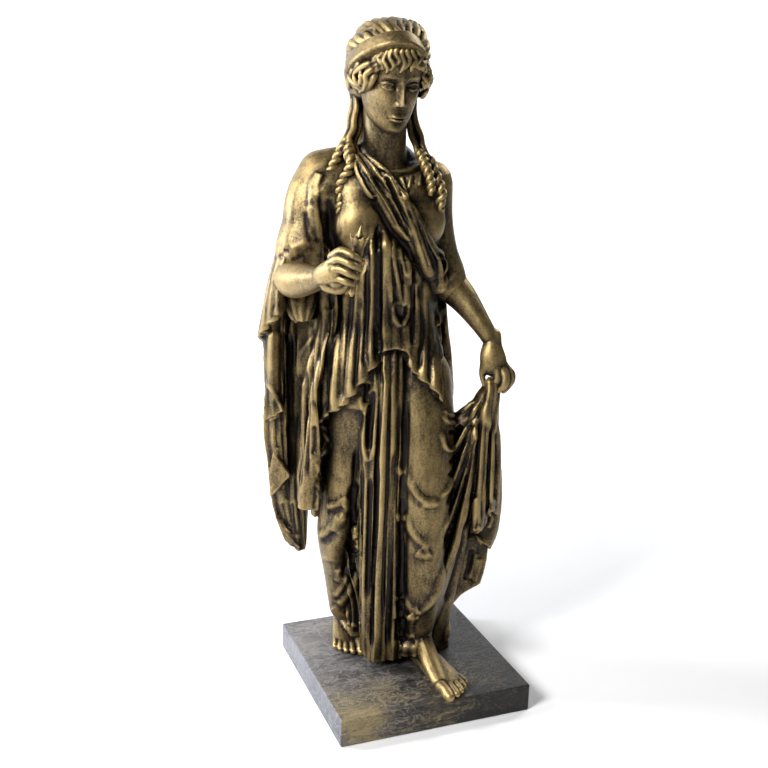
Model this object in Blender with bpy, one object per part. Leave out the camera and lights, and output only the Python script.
"""Classical goddess statue on its square plinth.

The figure is one casting: a standing goddess in a belted gown and mantle, a
torch held in her right hand and a fold of her gown drawn up in her left. It is
modelled as a sculptor would, from overlapping lumps of clay that are fused into
one skin. The plinth is a square slab. Metres, +Z up, the front faces -Y, and
the origin is the centre of the plinth's underside.
"""
import math

import bmesh
import bpy
import numpy as np
from mathutils import Matrix, Vector
from mathutils.bvhtree import BVHTree

# Driving sizes, in metres
FIGURE_HEIGHT = 1.34
PLINTH_SIDE = 0.42
PLINTH_HEIGHT = 0.060
PLINTH_EDGE = 0.003
SEAT_GAP = 0.0003

# The figure's forms are shares of its height: hundredths, from the soles up
SHARE = FIGURE_HEIGHT / 100
CLAY_GRAIN = 0.34
FIGURE_TRIANGLES = 9200

# The clay is looked at from the carver's station, level with the head and to
# the front left. Marks are (s, z) on the upright plane through the figure's
# axis square to that view, with the depth behind that plane where it is given.
STATION = np.array((-62.0, -147.2, 91.2))
VIEW_TURN = math.radians(21.45)
RIGHT = np.array((math.cos(VIEW_TURN), -math.sin(VIEW_TURN), 0.0))
AWAY = np.array((math.sin(VIEW_TURN), math.cos(VIEW_TURN), 0.0))
UP = np.array((0.0, 0.0, 1.0))


class Clay:
    """Overlapping closed lumps, kept as one list of corners and faces."""

    def __init__(self):
        self.points = []
        self.faces = []

    def add(self, points, faces):
        first = len(self.points)
        self.points.extend(map(tuple, points))
        self.faces.extend(tuple(first + i for i in face) for face in faces)

    def surface(self):
        return BVHTree.FromPolygons(self.points, self.faces)


def through(controls, count):
    """Catmull-Rom curve through rows of control values, evenly stepped by chord length."""
    p = np.array(controls, float)
    if len(p) == 2:
        t = np.linspace(0, 1, count)[:, None]
        return p[0] * (1 - t) + p[1] * t
    ends = np.vstack([2 * p[0] - p[1], p, 2 * p[-1] - p[-2]])
    chord = np.linalg.norm(np.diff(p[:, :3], axis=0), axis=1) ** 0.5 + 1e-6
    knots = np.concatenate([[0], np.cumsum(chord)])
    at = np.linspace(0, knots[-1], count)
    i = np.clip(np.searchsorted(knots, at, "right") - 1, 0, len(p) - 2)
    t = ((at - knots[i]) / (knots[i + 1] - knots[i]))[:, None]
    a, b, c, d = ends[i], ends[i + 1], ends[i + 2], ends[i + 3]
    return 0.5 * (2 * b + (c - a) * t + (2 * a - 5 * b + 4 * c - d) * t**2 + (3 * b - a - 3 * c + d) * t**3)


def unit(v):
    return v / np.maximum(np.linalg.norm(v, axis=-1, keepdims=True), 1e-9)


def quads(rows, columns, closed):
    """Faces of a grid of points, its columns joined round where closed."""
    faces = []
    for r in range(rows - 1):
        for c in range(columns if closed else columns - 1):
            d = (c + 1) % columns
            faces.append((r * columns + c, r * columns + d, (r + 1) * columns + d, (r + 1) * columns + c))
    return faces


def skin(clay, loops):
    """A closed lump through a stack of loops, its ends filled."""
    rows, columns = loops.shape[:2]
    faces = quads(rows, columns, True)
    points = np.vstack([loops.reshape(-1, 3), loops[0].mean(0), loops[-1].mean(0)])
    low, high = rows * columns, rows * columns + 1
    last = (rows - 1) * columns
    for c in range(columns):
        d = (c + 1) % columns
        faces.append((d, c, low))
        faces.append((last + c, last + d, high))
    clay.add(points, faces)


def ring(sides, squareness=2.0):
    """Unit loop; squareness 2 is round, below 2 comes to ridges and above 2 is boxy."""
    turn = np.linspace(0, 2 * math.pi, sides, endpoint=False)
    c, s = np.cos(turn), np.sin(turn)
    e = 2 / squareness
    return np.sign(c) * np.abs(c) ** e, np.sign(s) * np.abs(s) ** e


def stack(clay, sections, steps=40, sides=48, squareness=2.2):
    """A body of level sections (z, x, y, half width, half depth)."""
    rows = through([(s[1], s[2], s[0], s[3], s[4]) for s in sections], steps)
    a, b = ring(sides, squareness)
    loops = np.zeros((steps, sides, 3))
    for i, (x, y, z, w, d) in enumerate(rows):
        loops[i] = np.stack([x + w * a, y + d * b, np.full(sides, z)], 1)
    skin(clay, loops)


def frames(path, normals=None):
    """Along, across and out directions at each point of a path."""
    along = unit(np.gradient(path, axis=0))
    if normals is None:
        out = np.zeros_like(path)
        start = np.cross(along[0], (0.3, 0.9, 0.1))
        out[0] = unit(start)
        for i in range(1, len(path)):
            out[i] = unit(out[i - 1] - along[i] * (out[i - 1] @ along[i]))
    else:
        out = unit(normals - along * (normals * along).sum(1, keepdims=True))
    return along, unit(np.cross(out, along)), out


def tube(clay, path, across, out=None, sides=14, normals=None, squareness=2.0, caps=3):
    """A closed tube along a path, with half sizes across it and out from it."""
    path = np.asarray(path, float)
    n = len(path)
    across = np.broadcast_to(across, n).astype(float)
    out = across if out is None else np.broadcast_to(out, n).astype(float)
    _, side, up = frames(path, normals)
    along = unit(np.gradient(path, axis=0))
    a, b = ring(sides, squareness)
    loops = []
    for k in range(caps, 0, -1):
        angle = k / (caps + 0.5) * math.pi / 2
        at = path[0] - along[0] * math.sin(angle) * min(across[0], out[0])
        loops.append(at + math.cos(angle) * (np.outer(a * across[0], side[0]) + np.outer(b * out[0], up[0])))
    for i in range(n):
        loops.append(path[i] + np.outer(a * across[i], side[i]) + np.outer(b * out[i], up[i]))
    for k in range(1, caps + 1):
        angle = k / (caps + 0.5) * math.pi / 2
        at = path[-1] + along[-1] * math.sin(angle) * min(across[-1], out[-1])
        loops.append(at + math.cos(angle) * (np.outer(a * across[-1], side[-1]) + np.outer(b * out[-1], up[-1])))
    skin(clay, np.array(loops))


def limb(clay, controls, steps=24, sides=20, normals=None, squareness=2.0):
    """A tube through controls (x, y, z, half width[, half depth])."""
    rows = through(controls, steps)
    deep = rows[:, 4] if rows.shape[1] > 4 else rows[:, 3]
    facing = None if normals is None else np.tile(normals, (steps, 1))
    tube(clay, rows[:, :3], rows[:, 3], deep, sides, facing, squareness)


def egg(clay, centre, radii, turn=None, rows=12, sides=18):
    """An ellipsoid, turned by a matrix if one is given."""
    lat = np.linspace(-math.pi / 2, math.pi / 2, rows + 2)[1:-1]
    lon = np.linspace(0, 2 * math.pi, sides, endpoint=False)
    loops = np.zeros((rows, sides, 3))
    for i, t in enumerate(lat):
        loops[i] = np.stack([np.cos(t) * np.cos(lon), np.cos(t) * np.sin(lon), np.full(sides, math.sin(t))], 1)
    radii = np.broadcast_to(radii, 3)
    loops = loops * radii
    if turn is not None:
        loops = loops @ np.array(turn).T
    skin(clay, loops + np.array(centre, float))


def slab(clay, grid, thickness):
    """A closed slab of cloth round a grid of points (rows, columns, 3)."""
    du = np.gradient(grid, axis=1)
    dv = np.gradient(grid, axis=0)
    normal = unit(np.cross(du, dv))
    thick = np.broadcast_to(np.asarray(thickness, float), grid.shape[:2])[..., None] / 2
    front, back = grid + normal * thick, grid - normal * thick
    rows, columns = grid.shape[:2]
    n = rows * columns
    faces = [f for f in quads(rows, columns, False)]
    faces += [tuple(n + i for i in reversed(f)) for f in quads(rows, columns, False)]
    rim = [c for c in range(columns)] + [r * columns + columns - 1 for r in range(1, rows)]
    rim += [(rows - 1) * columns + c for c in range(columns - 2, -1, -1)] + [r * columns for r in range(rows - 2, 0, -1)]
    for i, a in enumerate(rim):
        b = rim[(i + 1) % len(rim)]
        faces.append((b, a, n + a, n + b))
    clay.add(np.vstack([front.reshape(-1, 3), back.reshape(-1, 3)]), faces)


def seen(s, z, depth=0.0):
    """The point that the carver at the station sees at (s, z) of the picture plane, so deep behind it."""
    on_plane = s * RIGHT + z * UP
    ray = on_plane - STATION
    start = STATION @ AWAY
    return STATION + ray * (depth - start) / (ray @ AWAY)


def lay(surface, marks, lift=0.0):
    """Marks of the picture plane carried along the line of sight onto the clay: points and outward normals."""
    points, normals = [], []
    for s, z in marks:
        target = seen(s, z)
        ray = Vector(unit(target - STATION))
        at, normal, _, _ = surface.ray_cast(Vector(STATION), ray)
        if at is None:
            at, normal, _, _ = surface.find_nearest(Vector(target))
        if normal.dot(ray) > 0:
            normal = -normal
        points.append(at)
        normals.append(normal)
    points, normals = np.array(points), np.array(normals)
    return points + normals * lift, normals


def relax(path, rounds):
    """Evens out a path, its ends kept."""
    for _ in range(rounds):
        path[1:-1] = path[1:-1] / 2 + (path[:-2] + path[2:]) / 4
    return path


def mesh_object(name, points, faces):
    mesh = bpy.data.meshes.new(name)
    mesh.from_pydata(points, [], faces)
    mesh.update()
    made = bpy.data.objects.new(name, mesh)
    bpy.context.scene.collection.objects.link(made)
    return made


def evaluated_mesh(obj):
    graph = bpy.context.evaluated_depsgraph_get()
    return bpy.data.meshes.new_from_object(obj.evaluated_get(graph))


def fused(name, clay, voxel, smoothing=2, strength=0.5):
    """One skin round all the lumps, by a voxel remesh and a light smoothing."""
    made = mesh_object(name, clay.points, clay.faces)
    remesh = made.modifiers.new("fuse", "REMESH")
    remesh.mode = "VOXEL"
    remesh.voxel_size = voxel
    remesh.adaptivity = 0
    if smoothing:
        smooth = made.modifiers.new("soften", "SMOOTH")
        smooth.factor = strength
        smooth.iterations = smoothing
    made.data = evaluated_mesh(made)
    made.modifiers.clear()
    return made


def keep_largest(obj):
    """Deletes every separate shell but the one with the most corners."""
    mesh = obj.data
    n = len(mesh.vertices)
    edges = np.empty(len(mesh.edges) * 2, np.int32)
    mesh.edges.foreach_get("vertices", edges)
    edges = edges.reshape(-1, 2)
    label = np.arange(n)
    while True:
        low = np.minimum(label[edges[:, 0]], label[edges[:, 1]])
        new = label.copy()
        np.minimum.at(new, edges[:, 0], low)
        np.minimum.at(new, edges[:, 1], low)
        new = new[new]
        if (new == label).all():
            break
        label = new
    values, counts = np.unique(label, return_counts=True)
    best = values[counts.argmax()]
    if len(values) > 1:
        bm = bmesh.new()
        bm.from_mesh(mesh)
        bm.verts.ensure_lookup_table()
        bmesh.ops.delete(bm, geom=[bm.verts[i] for i in np.nonzero(label != best)[0]], context="VERTS")
        bm.to_mesh(mesh)
        bm.free()
    return len(values)


# Marks and limbs

def at(s, z, depth):
    return tuple(seen(s, z, depth))

def along_marks(controls):
    """Rows (s, z, depth, sizes...) turned into rows (x, y, z, sizes...)."""
    return [at(*row[:3]) + tuple(row[3:]) for row in controls]

def arm(clay, controls, steps=28, sides=20, squareness=2.0):
    limb(clay, along_marks(controls), steps, sides, None, squareness)

# Body

def torso(clay):
    stack(clay, [
        (43, -3.1, 4.2, 10.0, 7.4), (50, -2.8, 4.0, 8.9, 6.8), (56, -2.4, 3.7, 6.9, 5.6), (60, -2.5, 3.4, 6.6, 5.2),
        (65, -3.0, 3.3, 7.4, 5.7), (70, -3.6, 3.3, 8.4, 5.9), (74, -3.7, 3.7, 8.6, 5.3), (77, -3.7, 4.0, 7.4, 4.1),
        (79.5, -3.7, 3.7, 4.2, 3.0)])
    egg(clay, (-8.2, -0.3, 70.5), (3.7, 3.0, 4.0))
    egg(clay, (0.9, -0.3, 70.5), (3.7, 3.0, 4.0))
    limb(clay, [(-3.6, 3.8, 77.0, 3.4), (-9.0, 4.0, 76.8, 3.3), (-12.4, 4.2, 75.0, 3.6)])
    limb(clay, [(-3.6, 3.8, 77.0, 3.4), (1.2, 3.9, 76.6, 3.1), (3.6, 4.2, 75.2, 3.3)])
    limb(clay, [(-3.7, 4.0, 75.0, 4.6), (-3.8, 3.6, 78.6, 3.7), (-4.0, 2.8, 82.0, 3.15), (-4.2, 2.0, 87.0, 3.3)])
    limb(clay, [(-4.2, 4.4, 80.4, 2.0), (-8.0, 4.6, 78.6, 2.4), (-11.0, 4.6, 77.0, 2.6)])
    limb(clay, [(-3.4, 4.4, 80.4, 2.0), (-0.4, 4.6, 78.8, 2.4), (2.4, 4.6, 77.2, 2.6)])

LEFT_LEG = [(1.0, 47, 1.5, 5.6), (2.3, 40, -1.0, 4.9), (3.0, 32, -3.0, 4.2), (3.2, 24, -3.8, 3.7),
            (3.3, 16, -3.6, 3.3), (3.4, 8, -2.2, 3.0), (3.2, 3.4, -1.2, 2.7)]
RIGHT_LEG = [(-8.8, 47, 2.0, 5.2), (-9.3, 38, 1.2, 3.6), (-9.4, 30, 1.4, 3.4), (-9.5, 20, 4.0, 3.1),
             (-9.3, 11, 7.4, 2.5), (-9.2, 7, 8.8, 2.2)]

def legs(clay):
    arm(clay, LEFT_LEG, 40, 28)
    arm(clay, RIGHT_LEG, 40, 28)

def skirt(clay):
    stack(clay, [
        (46, -3.0, 4.4, 9.6, 7.4), (38, -2.4, 5.6, 8.8, 6.8), (28, -1.6, 6.6, 8.4, 6.2), (18, -0.6, 7.2, 8.4, 6.0),
        (8, 0.9, 8.2, 7.4, 5.4), (-2, 1.2, 8.4, 7.4, 5.4)])

def arms(clay):
    arm(clay, [(-13.6, 77.2, 1.5, 3.9), (-15.0, 71.5, 0.5, 4.1), (-16.4, 66, -0.6, 4.3)])
    arm(clay, [(-18.2, 62.0, -1.5, 2.9), (-17.2, 61.7, -5.0, 2.7), (-15.0, 61.9, -9.0, 2.0), (-13.4, 62.3, -12.0, 1.45)])
    arm(clay, [(2.3, 76.3, 4.6, 3.2), (2.6, 71, 5.2, 3.0), (3.4, 66.0, 5.6, 3.1), (5.0, 62.2, 5.4, 3.0)])
    arm(clay, [(5.4, 62.0, 5.2, 2.9), (8.2, 59.4, 3.6, 2.55), (11.0, 55.3, 1.6, 1.95), (12.6, 52.2, 0.6, 1.5)])

# Head

HEAD_HEIGHT = 14.2
HEAD_AT = (-4.05, 1.0, 91.35)
HEAD_TURN = math.radians(1)
HEAD_TILT = math.radians(18)

def head_place(points):
    """Head shares (chin 0, crown 1, face towards -Y) to the figure's place."""
    p = (np.asarray(points, float) - (0, 0, 0.5)) * HEAD_HEIGHT
    turn = Matrix.Rotation(HEAD_TURN, 3, "Z") @ Matrix.Rotation(HEAD_TILT, 3, "X")
    return p @ np.array(turn).T + HEAD_AT

def head(clay):
    part = Clay()
    egg(part, (0, 0.06, 0.62), (0.315, 0.38, 0.36), rows=16, sides=24)
    stack(part, [
        (0.015, 0, -0.17, 0.075, 0.115), (0.05, 0, -0.15, 0.15, 0.185), (0.12, 0, -0.11, 0.215, 0.235),
        (0.22, 0, -0.08, 0.255, 0.272), (0.32, 0, -0.05, 0.28, 0.305), (0.42, 0, -0.035, 0.293, 0.325),
        (0.52, 0, -0.02, 0.297, 0.335), (0.62, 0, 0.0, 0.30, 0.368), (0.72, 0, 0.02, 0.30, 0.385),
        (0.84, 0, 0.04, 0.27, 0.34)], 40, 40, 2.15)
    limb(part, [(0, -0.34, 0.60, 0.030, 0.03), (0, -0.375, 0.51, 0.031, 0.034), (0, -0.415, 0.42, 0.034, 0.04),
                (0, -0.448, 0.345, 0.042, 0.04)], 16, 16, normals=(0, -1, 0.2))
    egg(part, (0, -0.452, 0.33), (0.042, 0.038, 0.034))
    limb(part, [(0, -0.35, 0.20, 0.06, 0.03), (0, -0.37, 0.27, 0.05, 0.03), (0, -0.40, 0.31, 0.04, 0.03)], 8, 14, normals=(0, -1, 0))
    egg(part, (0, -0.295, 0.055), (0.085, 0.07, 0.055))
    for side in (-1, 1):
        egg(part, (side * 0.046, -0.412, 0.318), (0.029, 0.042, 0.028))
        limb(part, [(side * 0.03, -0.362, 0.575, 0.02), (side * 0.12, -0.368, 0.602, 0.021), (side * 0.20, -0.33, 0.59, 0.02),
                    (side * 0.245, -0.27, 0.56, 0.02)], 14, 10)
        egg(part, (side * 0.135, -0.300, 0.502), (0.066, 0.06, 0.05))
        lid = [(side * 0.070, -0.342, 0.492), (side * 0.105, -0.368, 0.525), (side * 0.15, -0.364, 0.53), (side * 0.205, -0.312, 0.497)]
        low = [(side * 0.070, -0.342, 0.492), (side * 0.11, -0.358, 0.470), (side * 0.16, -0.348, 0.470), (side * 0.205, -0.312, 0.497)]
        tube(part, through(lid, 14), 0.0125, sides=8)
        tube(part, through(low, 14), 0.009, sides=8)
        egg(part, (side * 0.135, -0.19, 0.37), (0.17, 0.125, 0.16))
        egg(part, (side * 0.30, 0.03, 0.36), (0.022, 0.045, 0.06))
        limb(part, [(side * 0.088, -0.338, 0.195, 0.009), (side * 0.045, -0.372, 0.212, 0.018), (0, -0.378, 0.203, 0.016)], 10, 10)
        limb(part, [(side * 0.08, -0.342, 0.188, 0.01), (side * 0.035, -0.372, 0.172, 0.022), (0, -0.378, 0.168, 0.024)], 10, 10)
    clay.add(head_place(part.points), part.faces)

HAIR_CENTRE = np.array((-4.6, 1.6, 93.3))
HAIR_SIZE = np.array((5.5, 6.9, 6.0))
BAND_CENTRE = np.array((-4.45, 1.3, 93.8))
BAND_WIDE, BAND_LONG, BAND_RISE = 5.75, 6.4, 3.0

def band_point(turn, up=0.0, out=0.0):
    """A point of the band; turn 0 is the front and up is measured along its face."""
    side, ahead = math.sin(turn), math.cos(turn)
    base = BAND_CENTRE + (BAND_WIDE * side, -BAND_LONG * ahead, BAND_RISE * ahead)
    away = unit(np.array((side / BAND_WIDE, -ahead / BAND_LONG, 0.12)))
    lift = unit(np.array((0.0, 0.42, 1.0)) - away * 0.3)
    return base + lift * up + away * out

def hair(clay, fine=True):
    egg(clay, HAIR_CENTRE, HAIR_SIZE, rows=20, sides=30)
    egg(clay, (-4.2, 6.6, 90.4), (4.3, 3.6, 4.0))
    # the band
    loops = []
    for turn in np.linspace(0, 2 * math.pi, 64, endpoint=False):
        tall = 1.05 + 0.25 * math.cos(turn)
        loops.append([band_point(turn, -tall, -1.0), band_point(turn, -tall, 0.25), band_point(turn, 0, 0.42),
                      band_point(turn, tall, 0.30), band_point(turn, tall, -1.0)])
    loops = np.array(loops)
    faces = quads(5, 64, True)
    ring_points = loops.transpose(1, 0, 2).reshape(-1, 3)
    for c in range(64):
        d = (c + 1) % 64
        faces.append((4 * 64 + c, 4 * 64 + d, d, c))
    clay.add(ring_points, faces)
    # strands over the top, from the band back to the crown
    for k in range(-8, 9):
        turn = k * math.radians(11)
        start = band_point(turn, 0.9, -0.4)
        path = []
        for t in np.linspace(0, 1, 12):
            go = start * (1 - t) + (HAIR_CENTRE + (0.6 * k * 0.5, 5.6, 2.5)) * t
            d = unit((go - HAIR_CENTRE) / HAIR_SIZE)
            rise = 1.03 + 0.03 * math.sin(t * 9 + k)
            path.append(HAIR_CENTRE + d * HAIR_SIZE * rise + (0.25 * math.sin(t * 11 + k * 1.3), 0, 0))
        tube(clay, relax(np.array(path), 1), 0.42, 0.5, sides=8)
    # curls under the band over the forehead
    for k in range(-6, 7):
        turn = k * math.radians(12.5)
        start = band_point(turn, -0.9, 0.1)
        tip = head_place([(0.285 * math.sin(turn * 1.12), -0.37 * math.cos(turn * 0.95), 0.70 - 0.13 * abs(math.sin(turn)) ** 2 + 0.012 * (k % 2))])[0]
        away = unit(np.array((math.sin(turn), -math.cos(turn), 0.0)))
        across = np.array((away[1], -away[0], 0.0)) * (1 if k % 2 else -1)
        path = []
        for t in np.linspace(0, 1, 14):
            sway = 0.42 * math.sin(t * 6.0) * (0.4 + 0.6 * t)
            path.append(start * (1 - t) + tip * t + away * (0.75 * math.sin(math.pi * t) + 0.12) + across * sway)
        size = np.interp(np.linspace(0, 1, 14), (0, 0.25, 0.8, 1), (0.55, 0.58, 0.44, 0.2))
        tube(clay, np.array(path), size, sides=9)
        side_path = np.array(path) - across * 0.55 - away * 0.2
        tube(clay, side_path[:11], size[:11] * 0.8, sides=8)
    # rolls over the ears
    for side in (-1, 1):
        for n in range(5):
            path = []
            for t in np.linspace(0, 1, 16):
                a = side * math.radians(70 + 16 * n)
                top = band_point(a, -0.8, 0.0)
                angle = t * (3.6 - 0.25 * n)
                centre = head_place([(side * 0.335, 0.02 + 0.035 * n, 0.44)])[0]
                low = centre + (side * (0.5 + 0.25 * math.sin(angle)), -1.5 * math.cos(angle * 0.9) + 0.35 * n, -1.2 * math.sin(angle * 0.9) - 0.1 * n)
                blend = min(1, t * 1.8)
                path.append(top * (1 - blend) + low * blend + (side * 0.5 * math.sin(math.pi * blend), 0, 0))
            tube(clay, relax(np.array(path), 2), np.linspace(0.55, 0.5, 16), sides=9)
    # knot of hair and the mass down the back
    egg(clay, (-4.2, 8.6, 88.4), (3.4, 2.6, 2.8))
    limb(clay, [(-4.2, 8.4, 87, 2.6, 1.6), (-4.0, 7.6, 82, 3.0, 1.5), (-3.9, 8.0, 77, 3.3, 1.4), (-3.9, 8.6, 72.5, 2.6, 1.0)], 20, 18, normals=(0, 1, 0.1))

def twist(clay, marks, radius, turns, thick=0.42, lift=0.35, surface=None):
    """A twisted lock: two strands wound round a path of marks (s, z, depth)."""
    path = through([at(*m) for m in marks], 48)
    along, side, out = frames(path)
    taper = np.interp(np.linspace(0, 1, 48), (0, 0.1, 0.85, 1), (0.8, 1, 0.8, 0.45))
    for phase in (0, math.pi):
        a = np.linspace(0, turns * 2 * math.pi, 48) + phase
        wound = path + (side * np.cos(a)[:, None] + out * np.sin(a)[:, None]) * (radius * taper)[:, None]
        tube(clay, wound, thick * taper, sides=8)
    tube(clay, path, radius * 0.8 * taper, sides=8)

def locks(clay):
    twist(clay, [(-9.7, 88.4, 1.8), (-9.5, 86, 1.2), (-9.2, 84, 0.6), (-9.7, 82, -0.8), (-10.2, 80.8, -2.0), (-9.7, 79, -2.6),
                 (-10.3, 77.4, -2.9), (-11.0, 76, -3.2), (-11.1, 74.5, -3.4), (-10.9, 73.2, -3.5), (-11.3, 72.2, -3.6), (-10.9, 71.3, -3.6)], 0.42, 6.5)
    twist(clay, [(-10.3, 84.0, 1.5), (-10.6, 81.5, -0.2), (-11.6, 79, -1.4), (-12.5, 77.2, -2.0), (-13.3, 76, -2.4), (-13.6, 74.8, -2.6), (-13.4, 73.4, -2.8)], 0.38, 4.5)
    twist(clay, [(-0.3, 87.5, 3.0), (-0.5, 85.5, 2.6), (0.0, 83.4, 2.2), (0.6, 81.4, 1.2), (1.0, 79.8, 0.2), (1.6, 78.2, -0.6), (2.1, 76.8, -1.2), (2.4, 75.4, -1.6)], 0.40, 4.5)
    twist(clay, [(0.6, 82.5, 2.6), (1.6, 79.4, 1.0), (2.7, 77.6, 0.2), (3.4, 76.0, -0.4), (4.0, 74.6, -0.6), (3.9, 73.0, -0.8)], 0.40, 4)

# Hands, torch and feet

def right_hand(clay):
    arm(clay, [(-13.6, 62.2, -11.6, 1.5), (-12.6, 62.7, -13.0, 1.75), (-11.2, 63.4, -14.2, 1.9)], 10, 16)
    egg(clay, at(-11.2, 63.2, -14.0), (1.8, 1.5, 2.5), rows=10, sides=16)
    fingers = [
        [(-12.0, 65.3, -14.2), (-10.6, 66.1, -15.3), (-9.0, 65.5, -16.0), (-8.0, 64.9, -15.2)],
        [(-12.5, 64.1, -14.4), (-11.0, 64.9, -15.7), (-9.2, 64.2, -16.4), (-8.0, 63.5, -15.5)],
        [(-12.7, 62.9, -14.4), (-11.2, 63.5, -15.7), (-9.5, 62.9, -16.3), (-8.3, 62.3, -15.5)],
        [(-12.7, 61.8, -14.2), (-11.4, 62.1, -15.3), (-9.9, 61.6, -15.9), (-8.9, 61.2, -15.3)]]
    for n, marks in enumerate(fingers):
        path = through([at(*m) for m in marks], 14)
        size = np.interp(np.linspace(0, 1, 14), (0, 0.3, 0.5, 0.75, 1), (0.72, 0.70, 0.58, 0.6, 0.42)) * (1, 1, 0.96, 0.86)[n]
        tube(clay, path, size, sides=12)
    arm(clay, [(-11.4, 62.0, -13.0, 0.95), (-9.8, 62.6, -12.2, 0.8), (-8.4, 63.8, -12.2, 0.65), (-7.6, 64.7, -13.4, 0.5)], 12, 12)
    arm(clay, [(-12.6, 61.2, -12.8, 1.2), (-11.0, 60.8, -13.4, 1.1), (-9.9, 61.2, -13.8, 0.9)], 10, 12)

TORCH_FOOT, TORCH_TOP = (-9.05, 59.6, -14.2), (-8.05, 68.2, -14.4)

def torch(clay, petals=8):
    foot, top = np.array(at(*TORCH_FOOT)), np.array(at(*TORCH_TOP))
    axis = top - foot
    profile = [(0, 0.35), (0.03, 0.6), (0.2, 0.55), (0.5, 0.62), (0.66, 0.85), (0.72, 0.98), (0.86, 1.12), (0.94, 1.38), (1.0, 1.55), (1.0, 1.2), (1.01, 0.8)]
    path = np.array([foot + axis * t for t, _ in profile])
    path[:, 2] += np.arange(len(profile)) * 1e-3
    tube(clay, path, [r for _, r in profile], sides=20, caps=1)
    tube(clay, np.array([top - axis * 0.03, top + axis * 0.08, top + axis * 0.19, top + axis * 0.30]), [0.85, 0.72, 0.42, 0.1], sides=14)
    along = unit(axis)
    a = unit(np.cross(along, (0, 1, 0)))
    b = np.cross(along, a)
    for k in range(petals):
        d = a * math.cos(k * 2 * math.pi / petals) + b * math.sin(k * 2 * math.pi / petals)
        tube(clay, np.array([top - along * 0.5 + d * 1.25, top - along * 0.05 + d * 1.55, top + along * 0.45 + d * 1.85]), [0.5, 0.42, 0.12], [0.3, 0.28, 0.1], sides=8, normals=np.tile(d, (3, 1)))

def left_hand(clay):
    arm(clay, [(12.5, 52.6, 0.7, 1.55), (12.9, 51.0, 0.0, 1.7), (13.4, 49.6, -0.4, 1.6)], 10, 16)
    egg(clay, at(13.4, 49.8, -0.2), (1.6, 1.3, 1.8))
    digits = [
        ([(11.9, 51.2, -0.8), (11.3, 49.4, -1.6), (11.2, 47.6, -1.9), (12.0, 46.0, -1.7)], (0.95, 0.72, 0.66, 0.5)),
        ([(13.0, 50.0, -1.2), (13.5, 48.3, -2.1), (13.3, 46.8, -2.2), (12.6, 45.8, -1.8)], (0.8, 0.66, 0.58, 0.45)),
        ([(13.9, 49.9, -0.9), (14.6, 48.2, -1.8), (14.3, 46.6, -2.0), (13.5, 45.6, -1.6)], (0.8, 0.68, 0.60, 0.45)),
        ([(14.3, 50.0, -0.2), (15.2, 48.4, -0.8), (15.0, 46.9, -1.0), (14.3, 46.0, -0.9)], (0.8, 0.66, 0.58, 0.45)),
        ([(14.3, 50.0, 0.8), (15.3, 48.8, 0.6), (15.4, 47.4, 0.3), (14.8, 46.4, 0.1)], (0.75, 0.6, 0.52, 0.4))]
    for marks, sizes in digits:
        path = through([at(*m) for m in marks], 14)
        tube(clay, path, np.interp(np.linspace(0, 1, 14), (0, 0.35, 0.7, 1), sizes), sides=12)


def feet(clay):
    bare_foot(clay, (2.9, 0.6), math.radians(7), 15.4, 1)
    bare_foot(clay, (-5.2, 15.4), math.radians(-11), 14.6, -1)

def bare_foot(clay, heel, heading, length, outer):
    """Shares of the foot's length; outer is the side of the little toe (+1 is +X)."""
    ahead = np.array((math.sin(heading), -math.cos(heading), 0.0))
    across = np.array((math.cos(heading), math.sin(heading), 0.0)) * outer
    def put(a, c, z):
        return tuple(np.array((heel[0], heel[1], 0.0)) + length * (ahead * a + across * c + UP * z))
    L = length
    def rod(rows, steps=12, sides=14):
        limb(clay, [put(a, c, z) + (r * L, h * L) for a, c, z, r, h in rows], steps, sides, normals=(0, 0, 1))
    rod([(0.08, 0.0, 0.07, 0.10, 0.09), (0.35, 0.01, 0.09, 0.13, 0.10), (0.6, 0.02, 0.06, 0.155, 0.075), (0.78, 0.02, 0.04, 0.16, 0.055)], 16, 20)
    rod([(0.16, 0.0, 0.28, 0.11, 0.12), (0.32, -0.01, 0.20, 0.10, 0.10), (0.5, -0.03, 0.12, 0.10, 0.08), (0.70, -0.06, 0.06, 0.09, 0.06)], 14, 16)
    limb(clay, [put(0.16, 0, 0.1) + (0.11 * L,), put(0.18, 0, 0.25) + (0.12 * L,), put(0.16, 0, 0.42) + (0.13 * L,)], 10, 18)
    toes = [(-0.105, 1.00, 0.058, 0.82), (-0.015, 0.985, 0.040, 0.80), (0.055, 0.95, 0.037, 0.78), (0.115, 0.905, 0.034, 0.75), (0.165, 0.85, 0.032, 0.71)]
    for c, reach, r, root in toes:
        rod([(root - 0.04, c * 0.92, 0.05, r, r * 1.05), (root + 0.06, c, 0.058, r * 0.9, r), (reach - 0.06, c * 1.03, 0.045, r * 1.02, r * 0.95),
             (reach - 0.035, c * 1.03, 0.04, r * 0.9, r * 0.85)], 10, 12)


FAR = 400.0

def core_depth(surface, s, z):
    """Depth at which the carver's line of sight through (s, z) meets the clay."""
    ray = Vector(unit(seen(s, z) - STATION))
    hit = surface.ray_cast(Vector(STATION), ray)[0]
    return FAR if hit is None else float(np.array(hit) @ AWAY)

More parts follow.
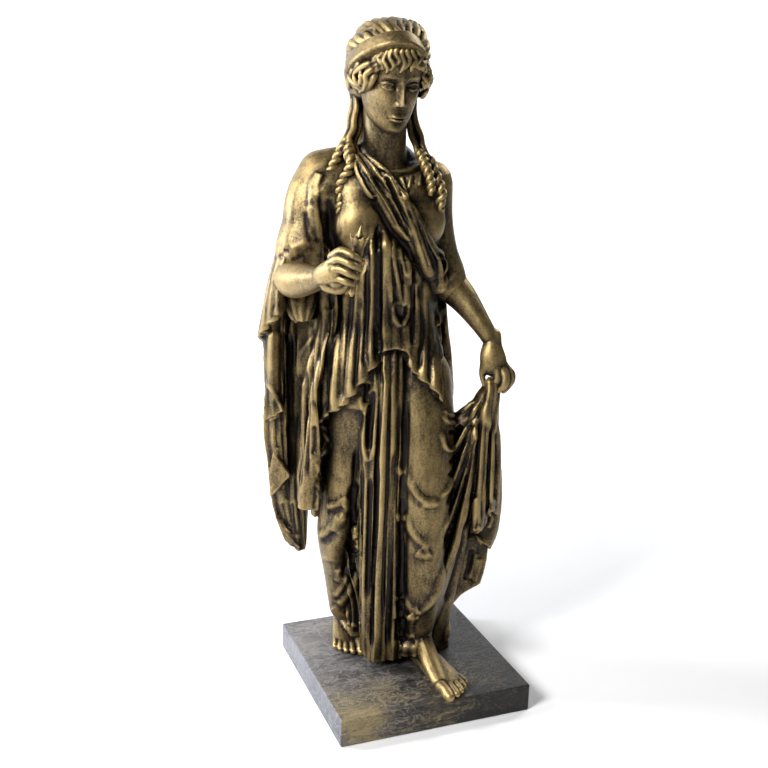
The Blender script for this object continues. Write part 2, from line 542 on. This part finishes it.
def hung(surface, marks, count, lift, slack=0.12, tuck=0.0):
    """A fold hanging down over the clay: it drops straight where the clay falls away behind it."""
    rows = through([m[:2] + (0,) for m in marks], count)[:, :2]
    given = [m[2] if len(m) > 2 else None for m in marks]
    depths, last = [], FAR
    for i, (s, z) in enumerate(rows):
        d = core_depth(surface, s, z) - lift
        fall = abs(rows[i][1] - rows[i - 1][1]) if i else 0.0
        last = min(d, last + slack * fall) if last < FAR / 2 else d
        depths.append(last)
    depths = np.array(depths)
    known = depths < FAR / 2
    if given[0] is not None:
        t = np.linspace(0, len(marks) - 1, count)
        depths = np.interp(t, range(len(marks)), given)
    elif not known.all():
        depths = np.interp(range(count), np.nonzero(known)[0], depths[known])
    depths = np.convolve(np.pad(depths, 2, "edge"), np.ones(5) / 5, "valid")
    depths += tuck * np.clip(1 - np.arange(count) / 5, 0, 1)
    return np.array([seen(s, z, d) for (s, z), d in zip(rows, depths)])

def patch(rows, across=6, down=6):
    """A smooth grid through a small grid of points."""
    rows = np.asarray(rows, float)
    wide = np.array([through(r, (len(r) - 1) * across + 1) for r in rows])
    tall = np.array([through(wide[:, c], (len(rows) - 1) * down + 1) for c in range(wide.shape[1])])
    return tall.transpose(1, 0, 2)

def sheet(clay, rows, thickness=0.9, across=6, down=6):
    """Cloth through a small grid of marks (s, z, depth)."""
    grid = patch([[seen(*m) for m in row] for row in rows], across, down)
    slab(clay, grid, thickness)
    return grid

def pleats(clay, ridges, valleys, thickness=1.0, between=8):
    """Cloth whose rounded ridges are given as paths and whose creases lie so deep between them."""
    columns = []
    for i in range(len(ridges) - 1):
        for k in range(between):
            t = k / between
            h = 1 - abs(2 * t - 1)
            push = valleys[i] * (1 - math.cos(math.pi / 2 * h))
            columns.append(ridges[i] * (1 - t) + ridges[i + 1] * t + AWAY * push)
    columns.append(ridges[-1])
    slab(clay, np.array(columns).transpose(1, 0, 2), thickness)

def fold(clay, surface, marks, width, height, lift=0.0, count=26, ends=(0.35, 0.35), squareness=1.7):
    """One rounded fold laid along marks (s, z) on the clay."""
    path, normals = lay(surface, through([m[:2] + (0,) for m in marks], count)[:, :2], lift)
    path = relax(path, 3)
    for _ in range(4):
        normals[1:-1] = normals[1:-1] / 2 + (normals[:-2] + normals[2:]) / 4
    t = np.linspace(0, 1, count)
    taper = np.interp(t, (0, 0.18, 0.82, 1), (ends[0], 1, 1, ends[1]))
    tube(clay, path, width / 2 * np.sqrt(taper), height * taper, normals=unit(normals), squareness=squareness, sides=12)

def ridge_wave(x):
    """Rounded ridges and sharp creases, 0 to 1, one per unit of x."""
    return np.abs(np.sin(np.pi * x)) ** 0.75

def wrap(clay, sections, start, end, top, hem, folds, deep, thickness=1.2, columns=120, rows=44, sway=0.0):
    """Cloth round the body from one angle to another (0 is +X, 90 is +Y) hanging between two lines."""
    table = through([(s[1], s[2], s[0], s[3], s[4]) for s in sections], 80)
    order = np.argsort(table[:, 2])
    table = table[order]
    grid = np.zeros((rows, columns, 3))
    for j, a in enumerate(np.linspace(start, end, columns)):
        t = math.radians(a)
        z = np.linspace(np.interp(a, *top), np.interp(a, *hem), rows)
        cx, cy, w, d = (np.interp(z, table[:, 2], table[:, i]) for i in (0, 1, 3, 4))
        v = np.linspace(0, 1, rows)
        x = (a - start) / (end - start) * folds + 0.25 * math.sin(a * 0.09) + sway * v
        push = deep * ridge_wave(x) * (0.35 + 0.65 * v) * (0.75 + 0.25 * math.sin(a * 0.17 + 1))
        grid[:, j] = np.stack([cx + (w + push) * math.cos(t), cy + (d + push) * math.sin(t), z], 1)
    slab(clay, grid, thickness)

# Garments

def skirt_folds(clay, folds=24, deep=1.5):
    rows = through([(-2.4, 5.2, 46, 9.0, 7.2), (-2.0, 6.0, 36, 8.6, 6.9), (-1.4, 6.8, 26, 8.8, 6.6), (-0.6, 7.4, 16, 8.8, 6.3),
                    (0.9, 8.3, 8, 7.9, 5.7), (1.2, 8.4, 3, 7.7, 5.6), (1.2, 8.4, -2, 7.9, 5.8)], 40)
    turn = np.linspace(0, 2 * math.pi, 260, endpoint=False)
    loops = []
    for x, y, z, w, d in rows:
        drop = (46 - z) / 48
        wave = ridge_wave(turn / (2 * math.pi) * folds + 0.35 * np.sin(turn * 3 + 1) + 0.02 * z * np.sin(turn * 2)) - 0.6
        push = deep * wave * (0.5 + 0.8 * drop) * (0.75 + 0.3 * np.sin(turn * 5 + 2))
        loops.append(np.stack([x + (w + push) * np.cos(turn), y + (d + push) * np.sin(turn), np.full(260, z)], 1))
    skin(clay, np.array(loops))

def bundle(clay):
    """The gathered cloth that falls between the legs."""
    paths = [
        [(-7.5, 48.5, -3.0), (-7.6, 36, -3.0), (-7.5, 24, -2.8), (-7.3, 12, -2.4), (-7.0, -0.2, -2.4)],
        [(-6.3, 48.5, -5.0), (-6.5, 36, -5.0), (-6.4, 24, -4.6), (-6.3, 12, -3.9), (-5.9, -0.8, -3.6)],
        [(-5.1, 48.5, -5.6), (-5.0, 36, -5.3), (-5.0, 24, -4.9), (-5.1, 12, -4.2), (-4.9, -1.6, -4.2)],
        [(-3.6, 48.5, -6.6), (-3.7, 36, -6.4), (-3.8, 24, -6.0), (-3.9, 12, -5.4), (-4.1, -2.0, -5.2)],
        [(-2.3, 48.5, -6.2), (-2.5, 36, -5.9), (-2.5, 24, -5.4), (-2.7, 12, -4.9), (-2.9, -1.6, -4.6)],
        [(-1.3, 48.5, -5.8), (-1.4, 36, -5.4), (-1.5, 24, -5.0), (-1.3, 12, -4.6), (-1.4, -1.4, -4.6)],
        [(0.0, 48.5, -4.4), (-0.3, 36, -4.0), (-0.3, 24, -3.4), (-0.1, 12, -3.0), (0.2, -1.0, -3.6)]]
    ridges = []
    for marks in paths:
        rows = through(marks, 40)
        ridges.append(np.array([seen(*r) for r in rows]))
    pleats(clay, ridges, (1.8, 1.4, 2.6, 1.6, 1.8, 2.0), 1.3)
    limb(clay, [at3(-3.6, 49, -1.6) + (3.0, 2.4), at3(-3.6, 20, -0.8) + (2.9, 2.2), at3(-3.4, -4, -0.6) + (2.9, 2.4)], 20, 20, normals=tuple(-AWAY))

def at3(s, z, d):
    return tuple(seen(s, z, d))

OVERFOLD = [
    [(-14.4, 58, 0.0), (-14.6, 50, 0.0), (-14.9, 44, 0.2), (-14.7, 39.0, 0.4)],
    [(-13.0, 60, -2.0), (-13.2, 50, -1.6), (-13.5, 44, -1.4), (-13.6, 39.4, -1.2)],
    [(-12.2, 60, -3.0), (-12.4, 52, -2.7), (-12.6, 46, -2.4), (-12.9, 40.2, -2.2)],
    [(-10.4, 61.5), (-10.8, 52), (-11.0, 46), (-11.2, 41.4)],
    [(-9.4, 62.5), (-9.6, 52), (-9.8, 46), (-9.9, 42.3)],
    [(-8.3, 63.5), (-8.5, 54), (-8.6, 48), (-8.8, 43.8)],
    [(-7.0, 66), (-7.1, 56), (-7.2, 50), (-7.3, 45.9)],
    [(-5.9, 69), (-5.9, 60), (-5.8, 54), (-5.7, 48.3)],
    [(-4.5, 70), (-4.1, 62), (-3.9, 56), (-3.7, 51.2)],
    [(-3.2, 69), (-2.6, 62), (-2.5, 56), (-2.3, 51.5)],
    [(-1.6, 67), (-1.0, 62), (-0.9, 56), (-0.8, 51.2)],
    [(0.0, 65), (0.4, 60), (0.7, 54), (0.5, 47.8)],
    [(1.6, 63), (2.0, 58), (2.4, 53), (2.2, 46.4)],
    [(2.9, 60), (3.4, 55), (4.0, 50), (4.0, 44.9)],
    [(3.8, 57), (4.3, 52), (4.9, 48), (5.2, 43.2)]]
OVERFOLD_CREASES = (0.9, 0.6, 1.2, 1.1, 0.9, 1.0, 0.8, 2.2, 0.5, 0.4, 0.8, 0.7, 0.6, 0.4)

def overfold(clay, surface):
    ridges = [hung(surface, marks, 40, 1.0, tuck=2.2) for marks in OVERFOLD]
    pleats(clay, ridges, np.array(OVERFOLD_CREASES) * 1.9, 1.3)

ROLL = [
    (0.7, 0.5, [(-8.9, 78.6), (-8.2, 76.6), (-7.2, 74.8), (-6.6, 74.0)]),
    (1.1, 0.8, [(-8.8, 79.1), (-7.3, 76.6), (-5.6, 74.0), (-4.2, 71.8), (-2.8, 69.8), (-1.4, 68.4)]),
    (0.8, 0.8, [(-8.4, 79.4), (-6.6, 77.2), (-4.8, 74.6), (-3.2, 72.2), (-2.0, 70.2), (-0.8, 68.6)]),
    (0.9, 0.9, [(-7.6, 79.3), (-5.4, 76.9), (-3.4, 74.4), (-2.2, 72.4), (-1.2, 70.0), (-0.5, 68.0)]),
    (1.7, 1.1, [(-5.0, 76.9), (-2.6, 74.0), (-1.2, 71.8), (-0.3, 69.4), (0.3, 67), (0.9, 65), (1.7, 62.8)]),
    (1.0, 0.9, [(-2.2, 73.9), (-0.2, 72.0), (1.0, 70.0), (1.9, 67.2), (2.5, 64.2), (2.8, 61.4)]),
    (0.8, 0.7, [(-0.2, 71.6), (1.6, 69.2), (2.8, 66.8), (3.6, 64.6), (3.4, 62.0)]),
    (0.7, 0.6, [(2.6, 67.4), (3.8, 66.0), (4.6, 64.6), (4.4, 62.8)])]

def roll(clay, surface):
    """The twisted edge of the mantle from her right shoulder to her left waist."""
    path, normals = lay(surface, through([(-8.4, 79.0, 0), (-5.2, 75.4, 0), (-2.2, 71.4, 0), (0.6, 67.2, 0), (2.6, 63.6, 0), (3.4, 61.4, 0)], 24)[:, :2], 0.3)
    tube(clay, relax(path, 4), np.linspace(1.1, 2.3, 24), 1.2, normals=relax(normals, 4), sides=18)
    for width, height, marks in ROLL:
        fold(clay, surface, marks, width * 1.1, height + 0.4, 1.0, ends=(0.6, 0.6))

def mantle_sleeve(clay):
    """The mantle over her right shoulder and arm, and its lobe hanging from the elbow."""
    arm_rows = [(-8.8, 80.0, 1.8, 1.9), (-12.0, 78.6, 1.5, 3.1), (-14.2, 75.6, 1.0, 3.8), (-15.0, 71.5, 0.4, 3.9), (-15.7, 67.2, -0.4, 4.1)]
    limb(clay, [at3(*r[:3]) + (r[3],) for r in arm_rows], 30, 24)
    lobe = [
        [(-18.4, 66.4, -3.6), (-19.6, 60, -3.8), (-19.7, 56.6, -3.2)],
        [(-19.2, 66.4, -2.4), (-20.6, 60, -2.8), (-20.9, 55.2, -2.4)],
        [(-19.7, 66.3, -0.6), (-21.3, 60, -0.8), (-22.2, 53.6, -0.8)],
        [(-18.9, 67.0, 0.8), (-21.4, 59, 1.6), (-22.7, 52.6, 1.4)],
        [(-18.0, 68.0, 2.0), (-20.7, 58, 3.8), (-22.0, 51.0, 3.8)],
        [(-16.4, 69.0, 3.0), (-19.0, 58, 5.6), (-20.4, 48.5, 6.0)],
        [(-14.4, 70.0, 3.6), (-16.8, 58, 6.8), (-18.2, 44, 7.6)],
        [(-12.4, 71.0, 3.8), (-14.0, 58, 7.4), (-15.6, 40, 9.0)]]
    pleats(clay, [np.array([seen(*m) for m in through(p, 30)]) for p in lobe], (0.7, 0.9, 0.9, 1.1, 1.2, 1.3, 1.3), 1.3)

def outer_cascade(clay):
    """The end of the mantle hanging in zigzags behind her right arm."""
    paths = [
        [(-21.6, 57, 2.2), (-22.0, 50, 2.0), (-21.8, 44, 2.0), (-22.2, 39.6, 1.6)],
        [(-20.6, 58, 0.2), (-20.8, 50, 0.0), (-20.8, 45, 0.2), (-20.6, 40.4, 0.4)],
        [(-19.5, 58, 1.2), (-19.6, 50, 1.0), (-19.4, 45, 1.0), (-19.3, 41.2, 1.2)]]
    pleats(clay, [np.array([seen(*r) for r in through(p, 30)]) for p in paths], (0.5, 0.6), 1.1)
    paths = [
        [(-21.8, 46, 3.4), (-22.2, 38, 3.2), (-21.6, 33, 3.2), (-21.2, 27.0, 2.9)],
        [(-20.4, 46, 2.2), (-20.4, 38, 2.0), (-20.0, 33, 2.0), (-19.8, 28.6, 2.0)],
        [(-18.9, 56, 2.6), (-18.8, 42, 2.4), (-18.6, 36, 2.3), (-18.4, 30.4, 2.4)]]
    pleats(clay, [np.array([seen(*r) for r in through(p, 30)]) for p in paths], (0.6, 1.0), 1.1)
    paths = [
        [(-21.0, 36, 4.6), (-21.2, 28, 4.6), (-20.4, 24, 4.4), (-18.9, 20.2, 4.2)],
        [(-19.6, 40, 3.8), (-19.6, 30, 3.8), (-19.0, 25, 3.6), (-17.7, 19.2, 3.6)],
        [(-18.0, 56, 3.6), (-17.8, 40, 3.4), (-17.6, 28, 3.2), (-16.8, 18.4, 3.2)],
        [(-16.6, 56, 3.8), (-16.6, 40, 3.6), (-16.4, 28, 3.4), (-16.1, 18.6, 3.4)],
        [(-15.4, 52, 4.4), (-15.6, 40, 4.4), (-15.6, 32, 4.4), (-15.9, 25.5, 4.2)]]
    pleats(clay, [np.array([seen(*r) for r in through(p, 34)]) for p in paths], (0.7, 1.0, 1.2, 0.8), 1.1)
    # the turned edges
    for a, b, c, d in (((-21.7, 46.2, 1.2), (-19.2, 41.3, -0.2), (-22.3, 39.4, 0.9), (-22.0, 43, 1.3)),
                       ((-20.8, 34.4, 1.8), (-18.2, 30.6, 1.0), (-21.2, 26.9, 2.2), (-21.4, 31, 2.2)),
                       ((-20.6, 24.2, 3.6), (-18.9, 21.2, 2.8), (-16.3, 18.3, 2.8), (-19.0, 19.6, 3.6))):
        sheet(clay, [[d, a], [c, b]], 0.8, 8, 8)

def inner_cascade(clay):
    """The zigzag edge where the overfold meets the mantle."""
    paths = [
        [(-15.9, 46, 1.5), (-15.6, 40, 1.4), (-15.4, 36, 1.2), (-15.0, 32.9, 1.2)],
        [(-14.9, 47, 0.2), (-14.8, 40, 0.2), (-14.4, 36, 0.2), (-13.9, 33.8, 0.4)],
        [(-13.9, 44, 0.8), (-13.5, 40, 0.6), (-12.8, 37, 0.6), (-12.0, 35.2, 0.8)]]
    pleats(clay, [np.array([seen(*r) for r in through(p, 24)]) for p in paths], (0.5, 0.5), 1.0)
    paths = [
        [(-15.3, 40, 2.6), (-15.2, 34, 2.6), (-15.2, 29, 2.4), (-14.9, 25.0, 2.2)],
        [(-14.2, 38, 1.6), (-14.0, 34, 1.6), (-14.0, 29, 1.6), (-14.3, 23.7, 1.6)],
        [(-13.2, 38, 1.8), (-12.8, 34, 1.8), (-12.8, 29.6, 1.8), (-13.6, 24.4, 2.2)]]
    pleats(clay, [np.array([seen(*r) for r in through(p, 24)]) for p in paths], (0.6, 0.6), 1.0)
    sheet(clay, [[(-13.7, 39.6, -0.4), (-13.2, 38.6, -0.8)], [(-13.0, 36.4, -0.4), (-11.6, 36.2, -0.6)], [(-15.0, 32.8, 0.4), (-12.2, 34.9, 0.2)]], 0.8, 8, 6)
    sheet(clay, [[(-15.0, 32.4, 1.0), (-13.6, 32.0, 0.6)], [(-13.8, 29.8, 1.0), (-12.6, 29.2, 0.8)], [(-14.4, 26.6, 1.4), (-13.2, 27.2, 1.2)]], 0.8, 8, 6)
    # the lobe of cloth under the forearm
    sheet(clay, [[(-19.2, 60, -0.5), (-17.6, 60, -1.8), (-15.8, 60, -1.8), (-14.6, 60, -1.2)],
                 [(-19.0, 56.4, -0.6), (-17.8, 55.6, -2.2), (-16.2, 56.0, -2.0), (-14.6, 57.0, -1.4)],
                 [(-18.6, 54.6, -0.6), (-17.8, 53.4, -2.0), (-16.4, 54.2, -1.8), (-15.2, 55.6, -1.2)]], 1.0)
    sheet(clay, [[(-16.6, 56, 1.4), (-15.0, 56, 0.2), (-13.8, 56, -0.6)], [(-16.9, 50, 1.4), (-15.6, 50, 0.2), (-14.2, 50, -0.4)],
                 [(-16.4, 44, 1.6), (-15.6, 43, 0.8), (-14.6, 42, 0.2)]], 1.0)

SWAG = [
    [(12.2, 45.4, -1.2), (10.3, 43.4, -0.8), (8.3, 42.0, -0.2), (6.6, 41.6, 0.6), (5.2, 42.4, 1.6)],
    [(12.0, 45.0, -1.5), (10.2, 41.8, -1.6), (8.4, 40.0, -1.4), (6.8, 39.6, -0.8), (5.3, 41.4, 0.6)],
    [(12.0, 44.6, -1.6), (10.4, 40.4, -1.8), (8.7, 37.2, -1.8), (7.1, 35.1, -1.4), (5.7, 37.6, 0.0)],
    [(12.0, 44.2, -1.7), (10.6, 38.6, -2.0), (9.0, 34.4, -2.2), (7.2, 29.8, -2.4), (5.2, 26.8, -2.6)],
    [(12.0, 43.8, -1.7), (10.8, 37.6, -2.0), (9.6, 31.0, -2.2), (7.6, 24.2, -2.6), (5.4, 18.6, -3.0)],
    [(12.0, 43.4, -1.8), (11.0, 36.4, -2.4), (9.9, 28.0, -2.9), (7.6, 17.0, -3.7), (4.4, 8.4, -4.6), (0.8, 6.2, -5.4)],
    [(12.1, 43.0, -1.2), (11.4, 36.0, -0.8), (10.6, 28.0, 0.0), (9.2, 17.0, 1.2), (7.4, 6.0, 2.0), (6.6, -0.5, 2.0)]]

def held_cloth(clay):
    """The skirt drawn up in her left hand."""
    ridges = [np.array([seen(*r) for r in through(p, 36)]) for p in SWAG]
    pleats(clay, ridges, (1.2, 1.4, 1.6, 1.3, 1.5, 1.2), 1.0)
    paths = [
        [(11.7, 44.6, -1.4), (11.3, 36, -0.6), (11.2, 28, -0.4), (10.9, 21.6, -0.2)],
        [(12.2, 45.4, -2.0), (12.2, 36, -2.2), (12.2, 28, -2.3), (12.1, 22.0, -2.2)],
        [(12.9, 45.0, -1.6), (13.0, 36, -0.9), (13.1, 28, -0.7), (13.0, 22.4, -0.6)],
        [(13.5, 45.0, -1.2), (13.8, 36, -1.4), (14.1, 30, -1.4), (14.3, 25.4, -1.2)],
        [(14.1, 44.6, -0.2), (14.6, 36, 0.4), (15.2, 30, 0.6), (15.2, 25.0, 0.8)],
        [(14.0, 44.2, 0.8), (14.2, 36, 2.0), (14.8, 28, 2.4), (14.8, 22.2, 2.6)]]
    pleats(clay, [np.array([seen(*r) for r in through(p, 34)]) for p in paths], (0.5, 0.8, 0.8, 0.7, 0.5), 1.1)
    # lower layers behind the pleats
    sheet(clay, [[(10.6, 30, 1.6), (12.2, 30, 1.0), (14.0, 30, 1.4), (14.8, 30, 2.4)], [(10.2, 24, 1.8), (12.0, 23, 1.0), (13.8, 22.6, 1.2), (14.6, 22.6, 2.4)],
                 [(9.8, 19.6, 2.0), (11.2, 20.6, 1.0), (13.3, 19.4, 0.6), (13.4, 19.0, 2.4)]], 1.0)
    sheet(clay, [[(9.6, 30, 2.0), (11.0, 30, 3.0), (13.6, 30, 3.2)], [(8.8, 20, 2.2), (10.8, 20, 3.2), (13.4, 19.0, 3.4)],
                 [(8.2, 14, 2.4), (10.4, 14, 3.2), (12.9, 15.2, 3.6)], [(7.8, 9.0, 2.6), (9.4, 11.0, 3.2), (12.4, 13.0, 3.6)]], 1.2)

def leg_folds(clay, surface):
    for width, height, marks in [
            (0.9, 0.5, [(-0.8, 32), (0.2, 29.6), (1.3, 27.8), (2.6, 26.8), (3.8, 26.9), (4.8, 27.2)]),
            (0.9, 0.5, [(-0.7, 23.6), (0.4, 21), (1.8, 19.2), (3.0, 18.6), (4.4, 19.0)]),
            (0.8, 0.5, [(-0.2, 10.2), (0.8, 8.4), (2.0, 7.4), (3.4, 7.8)]),
            (0.7, 0.4, [(0.2, 2.2), (1.4, 1.6), (2.6, 1.8), (3.6, 2.6)]),
            (0.8, 0.5, [(-13.4, 25.8), (-11.5, 25.4), (-9.4, 26.2), (-8.4, 27)]),
            (0.8, 0.5, [(-13.8, 20.3), (-12, 21), (-10.4, 23), (-9.0, 25.6)]),
            (1.5, 0.8, [(-8.9, 25.6), (-9.7, 22.5), (-10.7, 19), (-11.8, 15.4)]),
            (0.8, 0.6, [(-8.1, 24), (-8.5, 19), (-9.2, 14), (-10.4, 10.2)]),
            (0.6, 0.4, [(-7.9, 16), (-8.3, 13), (-9.4, 10.2), (-10.8, 8.6)]),
            (0.9, 0.5, [(-11.4, 8.0), (-9.9, 7.2), (-8.4, 7.7), (-7.4, 8.2)])]:
        fold(clay, surface, marks, width, height)

def right_leg_cloth(clay):
    """The chiton round her right shin, bellying out at the knee."""
    limb(clay, [at3(-9.3, 36, 1.6) + (3.5,), at3(-9.6, 28, 1.6) + (3.7,), at3(-10.5, 21.5, 3.0) + (3.5,), at3(-9.9, 14.5, 5.0) + (3.0,), at3(-9.4, 8.4, 7.2) + (2.6,)], 30, 24)

def loop_folds(clay, surface):
    for width, height, marks in [
            (0.8, 0.6, [(-3.4, 70), (-3.0, 66.5), (-2.3, 63), (-1.6, 60), (-1.1, 58.8), (-1.0, 61.5), (-1.0, 64)]),
            (0.8, 0.6, [(-3.3, 62), (-3.0, 58.8), (-2.3, 56.2), (-1.4, 54.9), (-0.6, 55.4), (0.0, 57.5), (0.1, 60.5), (-0.2, 63.5), (-0.6, 66)]),
            (0.6, 0.4, [(-2.0, 68), (-1.4, 65), (-0.9, 62)]),
            (0.6, 0.4, [(-7.4, 46), (-7.2, 43), (-6.6, 41.2), (-6.0, 42), (-5.6, 45), (-5.4, 47)]),
            (0.7, 0.5, [(-7.3, 41), (-7.0, 37), (-6.5, 34.6), (-5.9, 33.8), (-5.4, 35.4), (-4.9, 40), (-4.6, 46)])]:
        fold(clay, surface, marks, width, height)

def neckline(clay, surface):
    fold(clay, surface, [(-6.4, 78.6), (-4.6, 78.0), (-3.0, 77.8), (-1.2, 78.0), (0.6, 78.8)], 1.0, 0.5, ends=(0.8, 0.8))
    for marks in ([(-3.9, 77.4), (-3.3, 75.8), (-2.8, 74.4)], [(-2.3, 77.4), (-1.6, 75.7), (-1.3, 73.7)], [(-0.6, 77.5), (-0.8, 76.3), (-1.1, 74.8)],
                  [(0.7, 77.5), (0.6, 75.7)], [(-4.8, 77.3), (-4.3, 76.2)]):
        fold(clay, surface, marks, 0.6, 0.35, count=12)

def cuff(clay):
    """The sleeve of the chiton on her left arm, ending at the elbow."""
    limb(clay, [at3(2.2, 76.6, 4.4) + (3.3,), at3(2.5, 71, 5.0) + (3.25,), at3(3.3, 66.4, 5.2) + (3.35,), at3(4.6, 63.2, 5.0) + (3.3,), at3(5.2, 62.0, 4.8) + (3.1,)], 24, 22)

BACK = [(30, -3.4, 5.6, 10.8, 8.6), (38, -3.2, 5.2, 10.6, 8.4), (46, -3.2, 4.8, 10.6, 8.2), (54, -2.8, 4.2, 9.2, 7.2), (60, -3.0, 4.0, 9.0, 6.6),
        (66, -3.6, 3.9, 9.6, 6.6), (72, -4.2, 3.9, 10.4, 6.4), (77, -4.4, 4.0, 9.6, 5.2), (80, -4.4, 4.2, 6.4, 4.2)]

def back_mantle(clay):
    """The mantle across the back, from her left side up to her right shoulder."""
    wrap(clay, BACK, -20, 200, ((-20, 30, 80, 110, 140, 200), (57, 60, 70, 78, 78, 72)),
         ((-20, 0, 40, 90, 130, 170, 200), (43, 42, 36, 32, 29, 26, 26)), 15, 1.9, 1.3, sway=1.4)

def drapery(clay, core):
    surface = core.surface()
    skirt_folds(clay)
    right_leg_cloth(clay)
    back_mantle(clay)
    mantle_sleeve(clay)
    cuff(clay)
    under = Clay(); under.points, under.faces = list(clay.points), list(clay.faces)
    bundle(clay)
    overfold(clay, surface)
    outer_cascade(clay)
    inner_cascade(clay)
    held_cloth(clay)
    surface = clay.surface()
    leg_folds(clay, surface)
    loop_folds(clay, surface)
    roll(clay, surface)
    neckline(clay, surface)


def build():
    """All the clay of the figure."""
    clay = Clay()
    torso(clay); legs(clay); skirt(clay); arms(clay)
    core = Clay(); core.points = list(clay.points); core.faces = list(clay.faces)
    head(clay); hair(clay); locks(clay)
    right_hand(clay); torch(clay); left_hand(clay); feet(clay)
    drapery(clay, core)
    return clay


# The model

def clear_scene():
    for thing in list(bpy.data.objects):
        bpy.data.objects.remove(thing, do_unlink=True)


def metal(name, colour, roughness, metallic):
    """A plain Principled finish."""
    made = bpy.data.materials.new(name)
    made.use_nodes = True
    shader = made.node_tree.nodes["Principled BSDF"]
    shader.inputs["Base Color"].default_value = (*colour, 1)
    shader.inputs["Roughness"].default_value = roughness
    shader.inputs["Metallic"].default_value = metallic
    return made


def cut_flat(made, height):
    """Cuts the mesh flat at a height and closes it there."""
    bm = bmesh.new()
    bm.from_mesh(made.data)
    everything = bm.verts[:] + bm.edges[:] + bm.faces[:]
    bmesh.ops.bisect_plane(bm, geom=everything, plane_co=(0, 0, height), plane_no=(0, 0, 1), clear_inner=True)
    bmesh.ops.holes_fill(bm, edges=[edge for edge in bm.edges if edge.is_boundary], sides=0)
    bmesh.ops.triangulate(bm, faces=bm.faces[:])
    bm.to_mesh(made.data)
    bm.free()


def make_figure():
    made = fused("figure", build(), CLAY_GRAIN)
    keep_largest(made)
    thin = made.modifiers.new("thin", "DECIMATE")
    thin.ratio = FIGURE_TRIANGLES / (2 * len(made.data.polygons))
    thin.use_collapse_triangulate = True
    made.data = evaluated_mesh(made)
    made.modifiers.clear()
    cut_flat(made, 0.0)
    made.data.name = "figure"
    for corner in made.data.vertices:
        corner.co = corner.co * SHARE + Vector((0, 0, PLINTH_HEIGHT + SEAT_GAP))
    made.data.shade_smooth()
    made.data.set_sharp_from_angle(angle=math.radians(50))
    made.data.materials.append(metal("bronze_gold", (0.20, 0.15, 0.075), 0.45, 0.75))
    return made


def make_plinth():
    bm = bmesh.new()
    bmesh.ops.create_cube(bm, size=1)
    for corner in bm.verts:
        corner.co.x *= PLINTH_SIDE
        corner.co.y *= PLINTH_SIDE
        corner.co.z = (corner.co.z + 0.5) * PLINTH_HEIGHT
    edges = [edge for edge in bm.edges if min(v.co.z for v in edge.verts) > 0 or edge.verts[0].co.z != edge.verts[1].co.z]
    bmesh.ops.bevel(bm, geom=edges, offset=PLINTH_EDGE, segments=2, profile=0.5, affect="EDGES")
    mesh = bpy.data.meshes.new("plinth")
    bm.to_mesh(mesh)
    bm.free()
    made = bpy.data.objects.new("plinth", mesh)
    bpy.context.scene.collection.objects.link(made)
    mesh.materials.append(metal("plinth_dark", (0.09, 0.085, 0.07), 0.55, 0.5))
    return made


clear_scene()
make_plinth()
make_figure()
